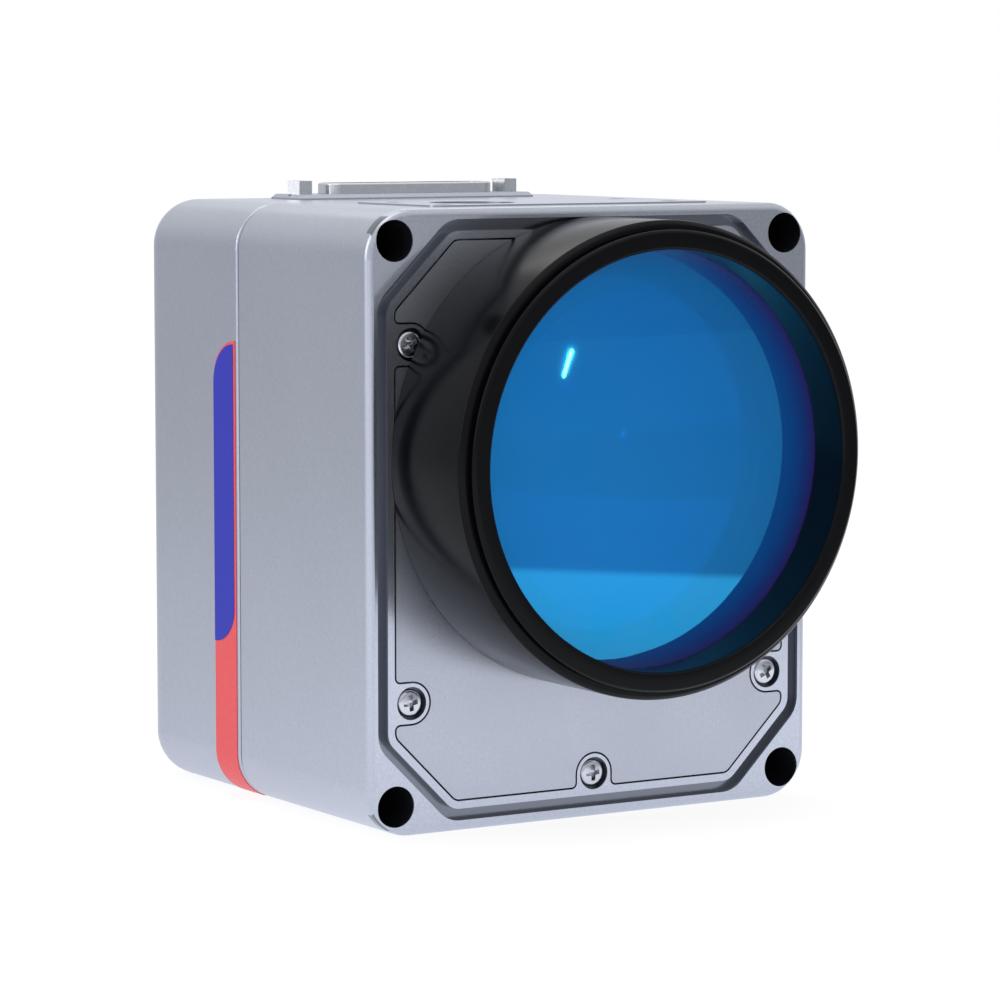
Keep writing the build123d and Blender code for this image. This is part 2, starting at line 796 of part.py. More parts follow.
def galvo(axis_name, place, mirror_length, mirror_width, mirror_normal, mirror_end):
    """One galvo: body, bearings, sensor cap, shaft with rotor and disc, mirror and its mount."""
    to_rear = (Align.CENTER, Align.CENTER, Align.MIN)

    def cylinder(start, length, radius, mode=Mode.ADD):
        """Cylinder along the galvo's axis, from a distance behind the motor's nose, in an open part."""
        with Locations(place.offset(start)):
            Cylinder(radius, length, align=to_rear, mode=mode)

    rear_bearing = motor_length - bearing_length
    with BuildPart() as body:
        cylinder(0, motor_length, motor_radius)
        chamfer(body.faces().filter_by(GeomType.PLANE).edges(), motor_edge_chamfer)
        cylinder(0, motor_length, rotor_radius + piece_gap, Mode.SUBTRACT)
        cylinder(0, bearing_length + piece_gap, bearing_radius, Mode.SUBTRACT)
        cylinder(rear_bearing - piece_gap, bearing_length + piece_gap, bearing_radius, Mode.SUBTRACT)
    finish(body, f"{axis_name}_motor_body")

    with BuildPart() as bearings:
        cylinder(0, bearing_length, bearing_radius - lens_fit)
        cylinder(rear_bearing, bearing_length, bearing_radius - lens_fit)
        cylinder(0, motor_length, shaft_radius + shaft_clearance, Mode.SUBTRACT)
    finish(bearings, f"{axis_name}_bearings")

    with BuildPart() as cap:
        cylinder(motor_length, sensor_cap_length, sensor_cap_radius)
        fillet(cap.faces().sort_by(Axis(place.origin, place.z_dir))[-1].edges(), sensor_wall / 2)
        cap_inside = sensor_cap_length - sensor_wall
        cylinder(motor_length, cap_inside, sensor_cap_radius - sensor_wall, Mode.SUBTRACT)
    finish(cap, f"{axis_name}_sensor_cap")

    disc_start = motor_length + 2 * sensor_wall
    rotor_start = bearing_length + 2 * piece_gap
    with BuildPart() as shaft:
        cylinder(-mount_reach, mount_reach + disc_start + sensor_disc_thickness, shaft_radius)
        cylinder(rotor_start, motor_length - 2 * rotor_start, rotor_radius)
        cylinder(disc_start, sensor_disc_thickness, sensor_disc_radius)
    finish(shaft, f"{axis_name}_shaft")

    # the reflecting face holds the galvo's axis, and the mirror's end sits in a slot in the mount
    face = Plane(origin=mirror_end, x_dir=place.z_dir, z_dir=mirror_normal)
    behind_face = (Align.MAX, Align.CENTER, Align.MAX)

    def mirror_slab(mode=Mode.ADD):
        """Mirror blank behind its reflecting face, in an open part."""
        with Locations(face):
            Box(mirror_length, mirror_width, mirror_thickness, align=behind_face, mode=mode)

    with BuildPart() as mirror:
        mirror_slab()
        chamfer(mirror.edges().filter_by(Axis(mirror_end, mirror_normal)), mirror_corner_cut)
    finish(mirror, f"{axis_name}_mirror")

    with BuildPart() as mount:
        cylinder(-motor_nose_gap - mount_length, mount_length, mount_radius)
        mirror_slab(Mode.SUBTRACT)
        cylinder(-mount_reach, mount_length, shaft_radius, Mode.SUBTRACT)
    finish(mount, f"{axis_name}_mirror_mount")


x_mirror_end = (-beam_shift, mirror_y + x_mirror_length / 2, lens_z)
y_mirror_end = (0, mirror_y, lens_z - y_mirror_length / 2)
galvo("x", x_place, x_mirror_length, x_mirror_width, (1, 0, 1), x_mirror_end)
galvo("y", y_place, y_mirror_length, y_mirror_width, (-1, -1, 0), y_mirror_end)

# ------------------------------------------------------------------ block that holds both galvos
block_front_y = flange_back_y
wall_front_y = motor_nose_y + motor_nose_showing
wall_back_y = wall_front_y + block_wall_thickness
wall_mid_y = (wall_front_y + wall_back_y) / 2
motor_bore = motor_radius + clamp_fit
x_clamp_z = (lens_z + motor_bore + block_wall_top) / 2
block_head_y = block_front_y + block_foot_thickness

with BuildPart() as galvo_block:
    # seat behind the lens plate, and the wall that stands on its rear
    with BuildSketch(Plane.XY.offset(block_bottom)):
        with Locations((0, (block_front_y + wall_back_y) / 2)):
            Rectangle(2 * block_half_width, wall_back_y - block_front_y)
    extrude(amount=block_seat_top - block_bottom)
    with BuildSketch(Plane.XY.offset(block_bottom)):
        with Locations(((block_wall_right - block_half_width) / 2, wall_mid_y)):
            Rectangle(block_half_width + block_wall_right, block_wall_thickness)
    extrude(amount=block_wall_top - block_bottom)
    fillet(galvo_block.faces().sort_by(Axis.Z)[-1].edges().filter_by(Axis.Y), mount_radius)
    # motor bores
    with BuildSketch(Plane.XY.offset(block_bottom)):
        with Locations((0, mirror_y)):
            Circle(motor_bore)
    extrude(amount=block_seat_top, mode=Mode.SUBTRACT)
    with BuildSketch(facing(wall_back_y)):
        with Locations((-beam_shift, lens_z)):
            Circle(motor_bore)
        with Locations((-beam_shift, block_wall_top)):
            Rectangle(clamp_slot, 2 * (block_wall_top - lens_z))
    extrude(amount=block_wall_thickness, mode=Mode.SUBTRACT)
    # clamp slot beside the lower motor
    with BuildSketch(Plane.XY.offset(clamp_slot_bottom)):
        with Locations((block_half_width / 2, mirror_y)):
            Rectangle(block_half_width, clamp_slot)
    extrude(amount=block_seat_top, mode=Mode.SUBTRACT)
    # clamp screw holes, each with a recess for the head
    with BuildSketch(facing(block_front_y + clamp_screw_head_height + clamp_screw_length)):
        with Locations((clamp_screw_offset, y_clamp_screw_height)):
            Circle(clamp_screw_radius + clamp_fit)
    extrude(amount=clamp_screw_head_height + clamp_screw_length, mode=Mode.SUBTRACT)
    with BuildSketch(facing(block_front_y + clamp_screw_head_height)):
        with Locations((clamp_screw_offset, y_clamp_screw_height)):
            Circle(clamp_screw_head_radius + screw_clearance)
    extrude(amount=clamp_screw_head_height, mode=Mode.SUBTRACT)
    clamp_head_x = -beam_shift - clamp_screw_length / 2
    with BuildSketch(Plane.YZ.offset(clamp_head_x)):
        with Locations((wall_mid_y, x_clamp_z)):
            Circle(clamp_screw_head_radius + screw_clearance)
    extrude(amount=-block_half_width, mode=Mode.SUBTRACT)
    with BuildSketch(Plane.YZ.offset(clamp_head_x)):
        with Locations((wall_mid_y, x_clamp_z)):
            Circle(clamp_screw_radius + clamp_fit)
    extrude(amount=clamp_screw_length, mode=Mode.SUBTRACT)
    # screw holes into the lens plate, reached from the rear
    with BuildSketch(facing(wall_back_y)):
        with Locations(*block_screw_points):
            Circle(block_screw_head_radius + screw_clearance)
    extrude(amount=wall_back_y - block_head_y, mode=Mode.SUBTRACT)
    with BuildSketch(facing(block_head_y)):
        with Locations(*block_screw_points):
            Circle(block_screw_radius + screw_clearance)
    extrude(amount=block_foot_thickness, mode=Mode.SUBTRACT)
finish(galvo_block, "galvo_block")

with BuildPart() as galvo_block_screws:
    with BuildSketch(facing(block_head_y + block_screw_head_height)):
        with Locations(*block_screw_points):
            Circle(block_screw_head_radius)
    extrude(amount=block_screw_head_height)
    with BuildSketch(facing(block_head_y)):
        with Locations(*block_screw_points):
            Circle(block_screw_radius)
    extrude(amount=block_foot_thickness + block_screw_bite)
finish(galvo_block_screws, "galvo_block_screws")

with BuildPart() as motor_clamp_screws:
    with BuildSketch(facing(block_front_y + clamp_screw_head_height)):
        with Locations((clamp_screw_offset, y_clamp_screw_height)):
            Circle(clamp_screw_head_radius)
    extrude(amount=clamp_screw_head_height)
    with BuildSketch(facing(block_front_y + clamp_screw_head_height)):
        with Locations((clamp_screw_offset, y_clamp_screw_height)):
            Circle(clamp_screw_radius)
    extrude(amount=-clamp_screw_length + piece_gap)
    with BuildSketch(Plane.YZ.offset(clamp_head_x)):
        with Locations((wall_mid_y, x_clamp_z)):
            Circle(clamp_screw_head_radius)
    extrude(amount=-clamp_screw_head_height)
    with BuildSketch(Plane.YZ.offset(clamp_head_x)):
        with Locations((wall_mid_y, x_clamp_z)):
            Circle(clamp_screw_radius)
    extrude(amount=clamp_screw_length - piece_gap)
finish(motor_clamp_screws, "motor_clamp_screws")

# ------------------------------------------------------------------ driver boards in the rear cover
rear_board_y = rear_inner_y - board_spacing
front_board_y = rear_board_y - board_spacing


def driver_board(y):
    """Upright board with its front face at y."""
    with BuildPart() as board:
        with BuildSketch(facing(y + board_thickness)):
            with Locations((0, driver_board_bottom + driver_board_height / 2)):
                Rectangle(driver_board_width, driver_board_height)
            with Locations(*driver_holes):
                Circle(board_screw_radius + screw_clearance, mode=Mode.SUBTRACT)
        extrude(amount=board_thickness)
    return board


front_driver_board = driver_board(front_board_y)
finish(front_driver_board, "front_driver_board")
rear_driver_board = driver_board(rear_board_y)
finish(rear_driver_board, "rear_driver_board")

with BuildPart() as board_standoffs:
    with BuildSketch(facing(rear_inner_y)):
        with Locations(*driver_holes):
            RegularPolygon(standoff_radius, 6)
    extrude(amount=rear_inner_y - rear_board_y - board_thickness)
    with BuildSketch(facing(rear_board_y)):
        with Locations(*driver_holes):
            RegularPolygon(standoff_radius, 6)
    extrude(amount=rear_board_y - front_board_y - board_thickness)
    with BuildSketch(facing(rear_inner_y + standoff_stud - piece_gap)):
        with Locations(*driver_holes):
            Circle(board_screw_radius)
    extrude(amount=rear_inner_y + standoff_stud - piece_gap - front_board_y - board_thickness)
finish(board_standoffs, "board_standoffs")

with BuildPart() as board_screws:
    with BuildSketch(facing(front_board_y)):
        with Locations(*driver_holes):
            Circle(board_screw_head_radius)
    extrude(amount=board_screw_head_height)
    fillet(board_screws.faces().group_by(Axis.Y)[0].edges(), board_screw_head_height / 3)
    with BuildSketch(facing(front_board_y + board_thickness)):
        with Locations(*driver_holes):
            Circle(board_screw_radius)
    extrude(amount=board_thickness)
finish(board_screws, "board_screws")

capacitor_z = board_top - capacitor_radius - board_hole_inset
capacitor_row = [((i - (capacitors_per_board - 1) / 2) * capacitor_pitch, capacitor_z)
                 for i in range(capacitors_per_board)]
with BuildPart() as driver_capacitors:
    for board_y in (front_board_y, rear_board_y):
        with BuildSketch(facing(board_y)):
            with Locations(*capacitor_row):
                Circle(capacitor_radius)
        extrude(amount=capacitor_length)
finish(driver_capacitors, "driver_capacitors")

transistor_z = driver_board_bottom + transistor_height
bar_width = driver_board_width - 2 * heat_bar_margin
transistor_pitch = bar_width / transistor_count
transistor_row = [((i - (transistor_count - 1) / 2) * transistor_pitch, transistor_z)
                  for i in range(transistor_count)]
with BuildPart() as power_transistors:
    with BuildSketch(facing(rear_board_y)):
        with Locations(*transistor_row):
            Rectangle(transistor_width, transistor_height)
    extrude(amount=transistor_thickness)
finish(power_transistors, "power_transistors")

with BuildPart() as heat_bar:
    bar_front = rear_board_y - transistor_thickness
    with BuildSketch(facing(bar_front)):
        with Locations((0, transistor_z)):
            Rectangle(bar_width, transistor_height)
    extrude(amount=heat_bar_thickness)
    with BuildSketch(Plane.XY.offset(case_wall)):
        with Locations((0, bar_front - heat_bar_thickness / 2)):
            Rectangle(bar_width, heat_bar_thickness)
    extrude(amount=transistor_z - case_wall)
finish(heat_bar, "heat_bar")

with BuildPart() as board_headers:
    for board_y in (front_board_y, rear_board_y):
        with BuildSketch(facing(board_y)):
            with Locations((0, driver_board_bottom + driver_board_height / 2 + header_height)):
                Rectangle(header_width, header_height)
        extrude(amount=header_depth)
finish(board_headers, "board_headers")

# ------------------------------------------------------------------ interface board under the connector
with BuildPart() as interface_board:
    with BuildSketch(Plane.XY.offset(interface_board_top)):
        with Locations((0, connector_y)):
            Rectangle(interface_board_width, interface_board_depth)
    extrude(amount=-board_thickness)
finish(interface_board, "interface_board")

with BuildPart() as interface_header:
    with BuildSketch(Plane.XY.offset(interface_board_top - board_thickness)):
        with Locations((0, connector_y)):
            Rectangle(header_width, header_height)
    extrude(amount=-header_depth)
finish(interface_header, "interface_header")
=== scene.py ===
"""Looks of the two-axis galvo scanner head: materials, small pieces, lights and camera.

Metres, in the same frame as the solids: the lens looks along -Y and +Z is up.
"""

import json
import math

import bmesh
import bpy
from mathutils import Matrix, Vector


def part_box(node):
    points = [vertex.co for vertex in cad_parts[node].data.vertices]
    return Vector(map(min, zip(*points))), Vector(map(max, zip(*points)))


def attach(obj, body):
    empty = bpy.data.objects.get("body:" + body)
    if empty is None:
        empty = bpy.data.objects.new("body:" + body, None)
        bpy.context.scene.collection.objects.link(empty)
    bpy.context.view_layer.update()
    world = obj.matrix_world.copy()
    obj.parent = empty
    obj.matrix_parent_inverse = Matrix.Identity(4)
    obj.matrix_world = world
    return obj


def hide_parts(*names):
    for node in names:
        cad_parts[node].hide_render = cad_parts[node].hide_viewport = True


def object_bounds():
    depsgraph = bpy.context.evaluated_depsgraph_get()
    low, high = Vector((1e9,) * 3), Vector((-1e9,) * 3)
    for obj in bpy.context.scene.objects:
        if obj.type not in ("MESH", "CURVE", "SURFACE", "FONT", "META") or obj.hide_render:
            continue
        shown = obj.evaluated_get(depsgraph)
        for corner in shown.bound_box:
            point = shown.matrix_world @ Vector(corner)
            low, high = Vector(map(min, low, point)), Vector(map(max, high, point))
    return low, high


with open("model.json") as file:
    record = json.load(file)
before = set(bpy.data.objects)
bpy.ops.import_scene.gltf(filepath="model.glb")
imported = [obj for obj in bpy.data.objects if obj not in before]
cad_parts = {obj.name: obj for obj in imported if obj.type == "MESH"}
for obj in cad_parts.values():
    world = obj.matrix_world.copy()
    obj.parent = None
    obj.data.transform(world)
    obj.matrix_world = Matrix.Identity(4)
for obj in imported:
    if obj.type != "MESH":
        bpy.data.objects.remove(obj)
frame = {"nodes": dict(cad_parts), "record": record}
cad_low, cad_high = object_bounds()

mm = 0.001
nodes = frame["nodes"]

# ------------------------------------------------------------------ places taken from the frame
case_low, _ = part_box("front_housing")
plate_low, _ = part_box("lens_plate")
ring_low, ring_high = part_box("lens_front_ring")
barrel_low, barrel_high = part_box("lens_barrel")
glass_low, glass_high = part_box("lens_front_glass")
lens_x = (ring_low.x + ring_high.x) / 2
lens_z = (glass_low.z + glass_high.z) / 2
front_y = case_low.y
case_height = 114 * mm
corner_hole_x = 42.8 * mm
corner_hole_z = 51.3 * mm
corner_hole_radius = 3.8 * mm
bore_lip = 0.35 * mm
bore_end = 60 * mm
machined_depth = 2.6 * mm
groove_start = 0.6 * mm
before_face = -1 * mm
machined_half_width = 47.2 * mm
machined_half_height = 55.7 * mm
glass_rim_radius = 40.0 * mm
close_fit = 0.05 * mm


# ------------------------------------------------------------------ shader helpers
def math_node(tree, operation, *values):
    """Maths over numbers and sockets."""
    node = tree.nodes.new("ShaderNodeMath")
    node.operation = operation
    for socket, value in zip(node.inputs, values):
        if isinstance(value, (int, float)):
            socket.default_value = value
        else:
            tree.links.new(value, socket)
    return node.outputs["Value"]


def vector_node(tree, operation, *values):
    """Vector maths over sockets and fixed vectors."""
    node = tree.nodes.new("ShaderNodeVectorMath")
    node.operation = operation
    for socket, value in zip(node.inputs, values):
        if isinstance(value, tuple):
            socket.default_value = value
        else:
            tree.links.new(value, socket)
    return node.outputs["Value" if operation == "LENGTH" else "Vector"]


def split_vector(tree, vector):
    """The X, Y and Z parts of a vector."""
    node = tree.nodes.new("ShaderNodeSeparateXYZ")
    tree.links.new(vector, node.inputs[0])
    return node.outputs


def grey_ramp(tree, source, *stops, tint=(1, 1, 1)):
    """Maps the source to a grey, or a tinted grey, by straight steps between the stops."""
    node = tree.nodes.new("ShaderNodeValToRGB")
    while len(node.color_ramp.elements) < len(stops):
        node.color_ramp.elements.new(0.5)
    for element, (position, grey) in zip(node.color_ramp.elements, stops):
        element.position = position
        element.color = (*(grey * part for part in tint), 1)
    tree.links.new(source, node.inputs["Fac"])
    return node.outputs["Color"]


def choose(tree, factor, first, second):
    """First where the factor is zero, second where it is one; a plain number is a grey."""
    node = tree.nodes.new("ShaderNodeMix")
    node.data_type = "RGBA"
    for index, value in ((0, factor), (6, first), (7, second)):
        if isinstance(value, tuple):
            node.inputs[index].default_value = (*value, 1)
        elif not isinstance(value, float):
            tree.links.new(value, node.inputs[index])
        elif index:
            node.inputs[index].default_value = (value, value, value, 1)
        else:
            node.inputs[index].default_value = value
    return node.outputs[2]


class Shader:
    """One node material with a Principled shader, and short ways to add the nodes it needs."""

    def __init__(self, name, color, metallic=0.0, roughness=0.5, **sockets):
        self.material = bpy.data.materials.new(name)
        self.material.use_nodes = True
        self.tree = self.material.node_tree
        self.principled = self.tree.nodes["Principled BSDF"]
        self.coordinates = self.tree.nodes.new("ShaderNodeTexCoord")
        self.height = None
        self.set("Base Color", (*color, 1))
        self.set("Metallic", metallic)
        self.set("Roughness", roughness)
        for socket, value in sockets.items():
            self.set(socket.replace("_", " "), value)

    def set(self, socket, value):
        self.principled.inputs[socket].default_value = value

    def link(self, source, target):
        self.tree.links.new(source, target)

    def into(self, socket, source):
        self.link(source, self.principled.inputs[socket])

    def stretched(self, scale):
        """Object coordinates scaled by a vector."""
        mapping = self.tree.nodes.new("ShaderNodeMapping")
        mapping.inputs["Scale"].default_value = scale
        self.link(self.coordinates.outputs["Object"], mapping.inputs["Vector"])
        return mapping.outputs["Vector"]

    def noise(self, scale, detail=2.0, vector=None, roughness=0.5):
        texture = self.tree.nodes.new("ShaderNodeTexNoise")
        texture.inputs["Scale"].default_value = scale
        texture.inputs["Detail"].default_value = detail
        texture.inputs["Roughness"].default_value = roughness
        self.link(vector or self.coordinates.outputs["Object"], texture.inputs["Vector"])
        return texture.outputs["Fac"]

    def ramp(self, source, *stops):
        """Colour ramp over the source; each stop is a position and a colour or a grey."""
        node = self.tree.nodes.new("ShaderNodeValToRGB")
        elements = node.color_ramp.elements
        while len(elements) < len(stops):
            elements.new(0.5)
        for element, (position, color) in zip(elements, stops):
            element.position = position
            element.color = (*color, 1) if isinstance(color, tuple) else (color, color, color, 1)
        self.link(source, node.inputs["Fac"])
        return node.outputs["Color"]

    def math(self, operation, *values):
        return math_node(self.tree, operation, *values)

    def bump(self, source, distance, strength=1.0):
        """Adds a bump of the source on top of those already made."""
        node = self.tree.nodes.new("ShaderNodeBump")
        node.inputs["Distance"].default_value = distance
        node.inputs["Strength"].default_value = strength
        self.link(source, node.inputs["Height"])
        if self.height:
            self.link(self.height, node.inputs["Normal"])
        self.height = node.outputs["Normal"]
        self.into("Normal", self.height)

    def axis_radius(self, centre, place=None):
        """Distance from a line along Y through the centre."""
        place = place or self.coordinates.outputs["Object"]
        shifted = vector_node(self.tree, "SUBTRACT", place, centre)
        flat = vector_node(self.tree, "MULTIPLY", shifted, (1, 0, 1))
        return vector_node(self.tree, "LENGTH", flat)


# ------------------------------------------------------------------ materials
def folded(shader):
    """Object position folded into one quarter of the front face."""
    place = shader.coordinates.outputs["Object"]
    centred = vector_node(shader.tree, "SUBTRACT", place, (0, 0, case_height / 2))
    return vector_node(shader.tree, "ABSOLUTE", centred)


def split_y(shader):
    """Depth of the shaded point."""
    return split_vector(shader.tree, shader.coordinates.outputs["Object"])["Y"]


def bore_mask(shader):
    """One inside the four deep corner holes, where shade is painted, zero elsewhere."""
    radius = shader.axis_radius((corner_hole_x, 0, corner_hole_z), folded(shader))
    inside = shader.math("LESS_THAN", radius, corner_hole_radius + close_fit)
    behind_lip = shader.math("GREATER_THAN", split_y(shader), front_y + bore_lip)
    before_end = shader.math("LESS_THAN", split_y(shader), front_y + bore_end)
    return shader.math("MULTIPLY", inside, shader.math("MULTIPLY", behind_lip, before_end))


def machined_mask(shader, nearest):
    """One on the front face and in its groove, from the nearest depth on; zero on the outside."""
    quarter = split_vector(shader.tree, folded(shader))
    across = shader.math("LESS_THAN", quarter["X"], machined_half_width)
    along = shader.math("LESS_THAN", quarter["Z"], machined_half_height)
    before_end = shader.math("LESS_THAN", split_y(shader), front_y + machined_depth)
    behind = shader.math("GREATER_THAN", split_y(shader), front_y + nearest)
    return shader.math("MULTIPLY", shader.math("MULTIPLY", across, along),
                       shader.math("MULTIPLY", before_end, behind))


def housing_paint():
    """Silver-grey metallic paint with a fine grain, smoother on the machined front face.

    The corner holes are painted near black and the groove round the front plate a darker grey: both are
    painted shade.
    """
    s = Shader("housing_paint", (0.5, 0.54, 0.66), 0.9, 0.36)
    grain = s.noise(2300, 3, roughness=0.6)
    blotch = s.noise(30, 2)
    mixed = s.math("ADD", s.math("MULTIPLY", grain, 0.8), s.math("MULTIPLY", blotch, 0.2))
    painted = s.ramp(mixed, (0.36, (0.47, 0.496, 0.566)), (0.66, (0.53, 0.56, 0.64)))
    # painted shade: the deep corner holes are made near black and not metallic
    hole_shade_mask = bore_mask(s)
    # painted shade: the groove round the front plate is made a darker grey
    groove_shade_mask = machined_mask(s, groove_start)
    groove_shaded = choose(s.tree, groove_shade_mask, painted, (0.2, 0.215, 0.25))
    s.into("Base Color", choose(s.tree, hole_shade_mask, groove_shaded, (0.012, 0.013, 0.017)))
    s.into("Metallic", s.math("MULTIPLY_ADD", hole_shade_mask, -0.9, 0.9))
    front = machined_mask(s, before_face)
    rough = s.math("MULTIPLY_ADD", front, -0.11, 0.29)
    s.into("Roughness", s.math("MULTIPLY_ADD", grain, 0.06, s.math("SUBTRACT", rough, 0.03)))
    s.bump(grain, 0.00003, 0.22)
    return s.material


def plate_paint():
    """Smoother, glossier paint of the front plate."""
    s = Shader("plate_paint", (0.46, 0.482, 0.545), 0.93, 0.27)
    grain = s.noise(2600, 2)
    s.into("Base Color", s.ramp(grain, (0.3, (0.44, 0.462, 0.525)), (0.7, (0.475, 0.5, 0.565))))
    s.into("Roughness", s.ramp(s.noise(60, 3), (0.3, 0.26), (0.7, 0.31)))
    s.bump(grain, 0.00002, 0.25)
    return s.material


def black_anodised():
    """Turned aluminium, satin black, with fine turning lines round the lens axis."""
    s = Shader("black_anodised", (0.003, 0.0032, 0.0042), 0.0, 0.2, Specular_IOR_Level=0.1)
    radius = s.axis_radius((lens_x, 0, lens_z))
    lines = s.math("SINE", s.math("MULTIPLY", radius, 2 * math.pi / (0.35 * mm)))
    s.bump(lines, 0.000004, 0.35)
    s.bump(s.noise(2200, 2), 0.00002, 0.2)
    s.into("Roughness", s.ramp(s.noise(90, 4), (0.3, 0.17), (0.7, 0.24)))
    return s.material


def coated_glass():
    """Dark glass whose coating throws back blue, and violet towards the rim."""
    s = Shader("coated_glass", (0.02, 0.25, 0.95), 0.0, 0.02, IOR=2.65, Specular_IOR_Level=1.0,
               Specular_Tint=(0.006, 0.6, 1.0, 1), Transmission_Weight=0.5, Coat_Weight=0.25,
               Coat_Roughness=0.02)
    s.into("Roughness", s.ramp(s.noise(70, 3), (0.35, 0.015), (0.7, 0.03)))
    edge = s.math("MULTIPLY", s.axis_radius((lens_x, 0, lens_z)), 1 / glass_rim_radius)
    s.into("Base Color", s.ramp(edge, (0.0, (0.02, 0.26, 0.95)), (0.84, (0.02, 0.23, 0.95)),
                                (0.92, (0.05, 0.15, 0.9)), (0.965, (0.14, 0.07, 0.65))))
    return s.material


def inner_glass():
    """Coated element inside the lens, which throws back a second, fainter blue."""
    s = Shader("inner_glass", (0.2, 0.4, 0.75), 0.35, 0.05, IOR=1.6)
    s.into("Roughness", s.ramp(s.noise(70, 3), (0.35, 0.03), (0.7, 0.07)))
    return s.material


def plated_steel(name, color, roughness):
    """Bright plated metal with fine scratches."""
    s = Shader(name, color, 1.0, roughness)
    scratches = s.noise(500, 4, s.stretched((1, 12, 1)))
    s.into("Roughness", s.ramp(scratches, (0.35, roughness * 0.7), (0.7, roughness * 1.5)))
    s.bump(s.noise(900, 2), 0.00002, 0.2)
    return s.material


def plain(name, color, metallic, roughness, grain_scale, grain_depth):
    """Surface with a fine grain in its colour, gloss and relief."""
    s = Shader(name, color, metallic, roughness)
    grain = s.noise(grain_scale, 3)
    darker = tuple(c * 0.82 for c in color)
    lighter = tuple(min(1.0, c * 1.15) for c in color)
    s.into("Base Color", s.ramp(grain, (0.3, darker), (0.7, lighter)))
    s.into("Roughness", s.ramp(grain, (0.3, roughness * 0.85), (0.7, min(1.0, roughness * 1.15))))
    s.bump(grain, grain_depth, 0.4)
    return s.material


def printed_film(name, color):
    """Printed label film, slightly uneven gloss."""
    s = Shader(name, color, 0.0, 0.38, Specular_IOR_Level=0.2)
    grain = s.noise(900, 2)
    s.into("Base Color", s.ramp(grain, (0.3, tuple(c * 0.93 for c in color)), (0.7, color)))
    s.bump(s.noise(160, 2), 0.00003, 0.3)
    return s.material


slot_materials = {
    "housing_paint": housing_paint(),
    "plate_paint": plate_paint(),
    "black_anodised": black_anodised(),
    "coated_glass": coated_glass(),
    "zinc_steel": plated_steel("zinc_steel", (0.6, 0.61, 0.65), 0.2),
    "tinned_steel": plated_steel("tinned_steel", (0.72, 0.73, 0.75), 0.22),
    "bearing_steel": plated_steel("bearing_steel", (0.6, 0.6, 0.62), 0.25),
    "black_steel": plain("black_steel", (0.02, 0.02, 0.022), 0.6, 0.4, 1200, 0.00002),
    "black_rubber": plain("black_rubber", (0.015, 0.015, 0.016), 0.0, 0.75, 1500, 0.00004),
    "bare_aluminium": plain("bare_aluminium", (0.7, 0.71, 0.73), 1.0, 0.35, 900, 0.00002),
    "mirror_coating": plain("mirror_coating", (0.92, 0.9, 0.86), 1.0, 0.03, 300, 0.000001),
    "black_plastic": plain("black_plastic", (0.018, 0.018, 0.02), 0.0, 0.5, 1300, 0.00003),
    "white_plastic": plain("white_plastic", (0.72, 0.7, 0.64), 0.0, 0.45, 1100, 0.00003),
    "capacitor_sleeve": plain("capacitor_sleeve", (0.03, 0.035, 0.09), 0.0, 0.3, 700, 0.00002),
    "green_board": plain("green_board", (0.015, 0.12, 0.05), 0.0, 0.35, 500, 0.00002),
    "gold_contact": plain("gold_contact", (0.8, 0.58, 0.22), 1.0, 0.25, 900, 0.00001),
    "label_red": printed_film("label_red", (0.78, 0.095, 0.105)),
    "label_blue": printed_film("label_blue", (0.02, 0.028, 0.43)),
}

slot_of = {entry["node"]: entry["material_slot"] for entry in frame["record"]["subparts"]}
inner_glass_nodes = ("lens_mid_glass", "lens_rear_glass")
inner_glass_material = inner_glass()


def dress(obj, material):
    """Gives the object one material."""
    obj.data.materials.clear()
    obj.data.materials.append(material)


for node_name, node in nodes.items():
    dress(node, slot_materials[slot_of[node_name]])
for node_name in inner_glass_nodes:
    dress(nodes[node_name], inner_glass_material)


# ------------------------------------------------------------------ mesh helpers
def new_piece(name, mesh_builder, material, body):
    """Object made from a bmesh, riding on a body."""
    mesh = bpy.data.meshes.new(name)
    mesh_builder.to_mesh(mesh)
    mesh_builder.free()
    obj = bpy.data.objects.new(name, mesh)
    bpy.context.scene.collection.objects.link(obj)
    dress(obj, material)
    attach(obj, body)
    return obj


def smooth(obj, angle=35):
    """Smooth shading that keeps edges sharper than the angle."""
    obj.data.shade_smooth()
    obj.data.set_sharp_from_angle(angle=math.radians(angle))


def lathe(name, profile, material, body, segments=256):
    """Turns a closed profile of (radius, y) points about the lens axis."""
    builder = bmesh.new()
    rings = []
    for i in range(segments):
        a = 2 * math.pi * i / segments
        rings.append([builder.verts.new((lens_x + r * math.cos(a), y, lens_z + r * math.sin(a)))
                      for r, y in profile])
    count = len(profile)
    for i, ring in enumerate(rings):
        following = rings[(i + 1) % segments]
        for k in range(count):
            m = (k + 1) % count
            builder.faces.new((ring[k], following[k], following[m], ring[m]))
    bmesh.ops.recalc_face_normals(builder, faces=builder.faces)
    obj = new_piece(name, builder, material, body)
    smooth(obj)
    return obj


for node in nodes.values():
    smooth(node)

# ------------------------------------------------------------------ lens: the turned pieces with fine edges
barrel_radius = 43.5 * mm
barrel_front = barrel_low.y
plate_face = plate_low.y
groove_radius = 40.8 * mm
glass_seat_radius = 40.05 * mm
mid_bore_radius = 34.05 * mm
rear_bore_radius = 30.05 * mm
neck_radius = 38.0 * mm
ring_radius = 41.8 * mm
aperture_radius = 38.2 * mm
skirt_radius = 38.6 * mm
fine_edge = 0.25 * mm
barrel_chamfer = 0.8 * mm
ring_chamfer = 0.5 * mm
aperture_chamfer = 0.4 * mm
_, mid_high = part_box("lens_mid_glass")
spacer_low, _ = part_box("lens_front_spacer")
glass_front_rim = glass_low.y + 1.2 * mm
ring_back = barrel_front - 0.7 * mm


